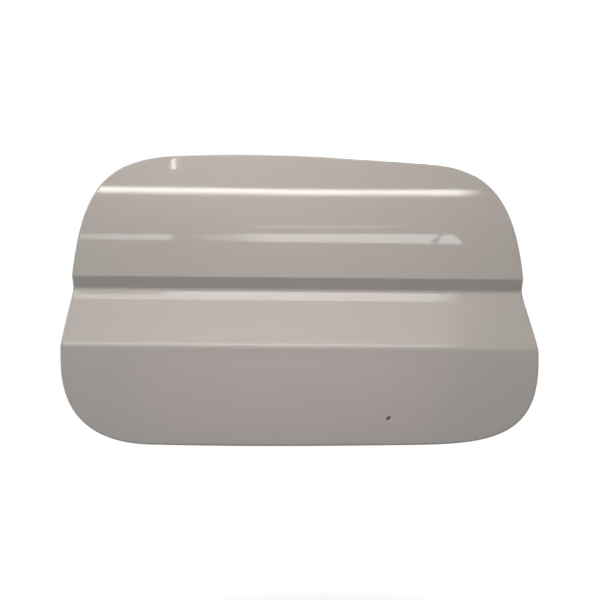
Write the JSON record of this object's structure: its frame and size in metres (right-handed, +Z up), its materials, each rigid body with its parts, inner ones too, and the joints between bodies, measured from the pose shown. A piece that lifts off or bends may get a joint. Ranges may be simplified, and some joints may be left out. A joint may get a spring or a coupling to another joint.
{
  "type": "car fuel door",
  "caption": "Pressed steel fuel door with a creased painted skin hemmed over an inner panel, on a spring-loaded hinge with an upright pin; it swings open on the body's side.",
  "frame": {"origin": "centre of the hinge base's two screw holes, on the base plate's back face", "axes": "+X along the car, towards the hinged edge; +Z up; +Y into the car body, so the painted face looks towards -Y"},
  "size_m": [0.2087, 0.0515, 0.1315],
  "materials": {
    "body_paint": "gloss, warm light grey, with clear coat",
    "plated_steel": "zinc plated",
    "spring_steel": "oiled dark spring steel",
    "nylon": "natural nylon",
    "black_rubber": "moulded, matte",
    "black_plastic": "fine grain",
    "sealer": "brushed body sealer under paint",
    "mastic": "soft mastic"
  },
  "bodies": {
    "base": {"hinge_base": "body_paint", "hinge_pin": "plated_steel", "pin_clip": "spring_steel", "torsion_spring": "spring_steel", "stop_buffers": "black_rubber"},
    "door": {"outer_skin": "body_paint", "inner_panel": "body_paint", "hem_sealer": "sealer", "mastic_pads": "mastic", "hinge_arm": "body_paint", "arm_rivets": "plated_steel", "bush_upper": "nylon", "bush_lower": "nylon", "latch_striker": "plated_steel", "striker_rivets": "plated_steel", "bumper_upper": "black_rubber", "bumper_lower": "black_rubber", "cap_holder": "black_plastic", "holder_clips": "black_plastic"}
  },
  "joints": [
    {"name": "door_swing", "type": "hinge", "parent": "base", "child": "door", "pos_m": [0.031, -0.022, 0], "axis": [0, 0, 1], "range_deg": [0, 90], "deforming": ["torsion_spring"]}
  ]
}
